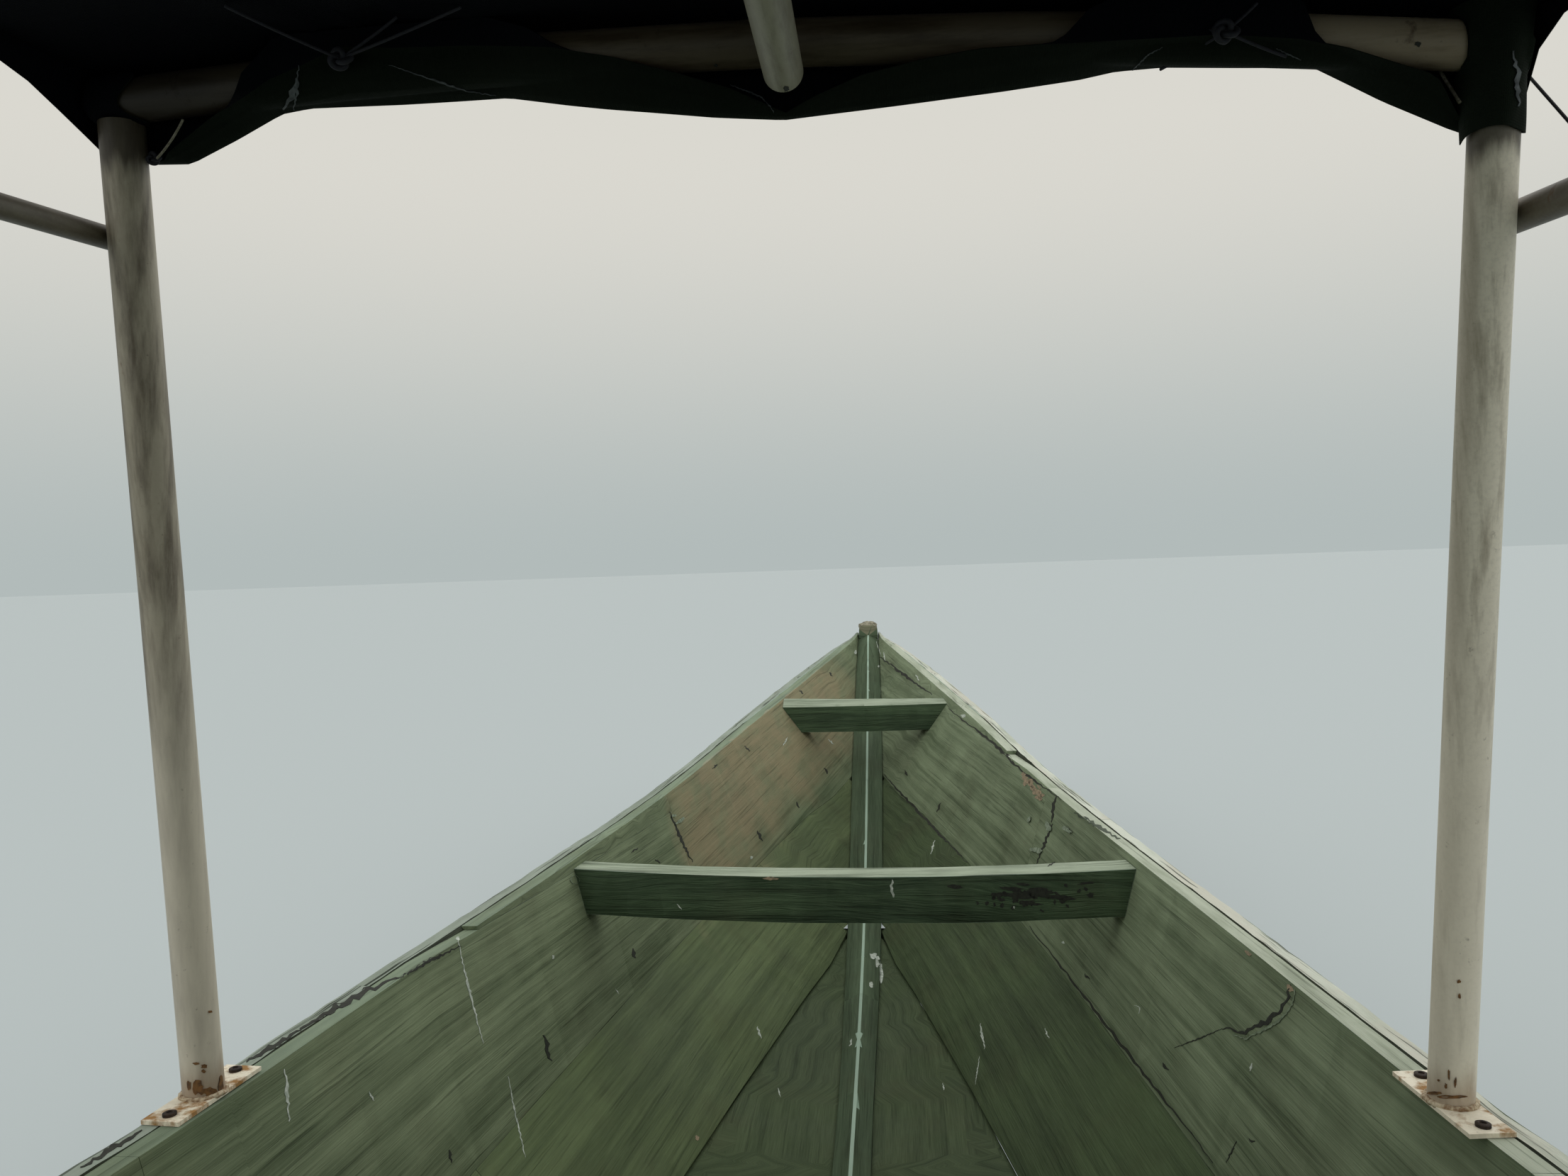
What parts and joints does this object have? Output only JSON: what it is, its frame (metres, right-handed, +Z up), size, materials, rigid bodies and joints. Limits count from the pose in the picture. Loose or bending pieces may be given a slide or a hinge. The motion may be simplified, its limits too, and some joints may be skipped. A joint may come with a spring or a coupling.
{
  "type": "open wooden lake boat with canopy",
  "caption": "Long open planked wooden boat with a raked stem, bare forward thwarts, benches aft and a tarpaulin canopy on steel pipe posts.",
  "frame": {"origin": "amidships on the centreline, in the plane of the water when the empty boat floats level", "axes": "+Y forward to the bow, +X to starboard, +Z up"},
  "size_m": [1.7488, 9.9103, 1.9328],
  "materials": {
    "hull_wood": "weathered dark green paint on sawn boards",
    "trim_wood": "worn dark green paint, pale on top",
    "floor_wood": "worn green paint, dirty",
    "canopy_steel": "cream paint with rust and dirt",
    "tarpaulin": "dark coated tarpaulin"
  },
  "bodies": {
    "boat": {"base_plates": "canopy_steel", "bench_risers": "trim_wood", "benches": "trim_wood", "bottom_board_aft_left": "hull_wood", "bottom_board_aft_right": "hull_wood", "bottom_board_fore_left": "hull_wood", "bottom_board_fore_right": "hull_wood", "cross_pipes": "canopy_steel", "floor_bearers": "floor_wood", "floorboards": "floor_wood", "front_post_left": "canopy_steel", "front_post_right": "canopy_steel", "keel": "hull_wood", "keelson": "hull_wood", "lower_strake_aft_left": "hull_wood", "lower_strake_aft_right": "hull_wood", "lower_strake_fore_left": "hull_wood", "lower_strake_fore_right": "hull_wood", "mid_posts": "canopy_steel", "mid_rails": "canopy_steel", "motor_pad": "hull_wood", "rear_posts": "canopy_steel", "ridge_pipe": "canopy_steel", "rubbing_rail_aft_left": "trim_wood", "rubbing_rail_aft_right": "trim_wood", "rubbing_rail_fore_left": "trim_wood", "rubbing_rail_fore_right": "trim_wood", "sheer_wedge_left": "hull_wood", "sheer_wedge_right": "hull_wood", "stem": "hull_wood", "tarpaulin": "tarpaulin", "thwart_first": "trim_wood", "thwart_second": "trim_wood", "transom": "hull_wood", "transom_knee": "hull_wood", "upper_strake_aft_left": "hull_wood", "upper_strake_aft_right": "hull_wood", "upper_strake_fore_left": "hull_wood", "upper_strake_fore_right": "hull_wood", "upper_strake_mid_left": "hull_wood", "upper_strake_mid_right": "hull_wood"}
  },
  "joints": []
}
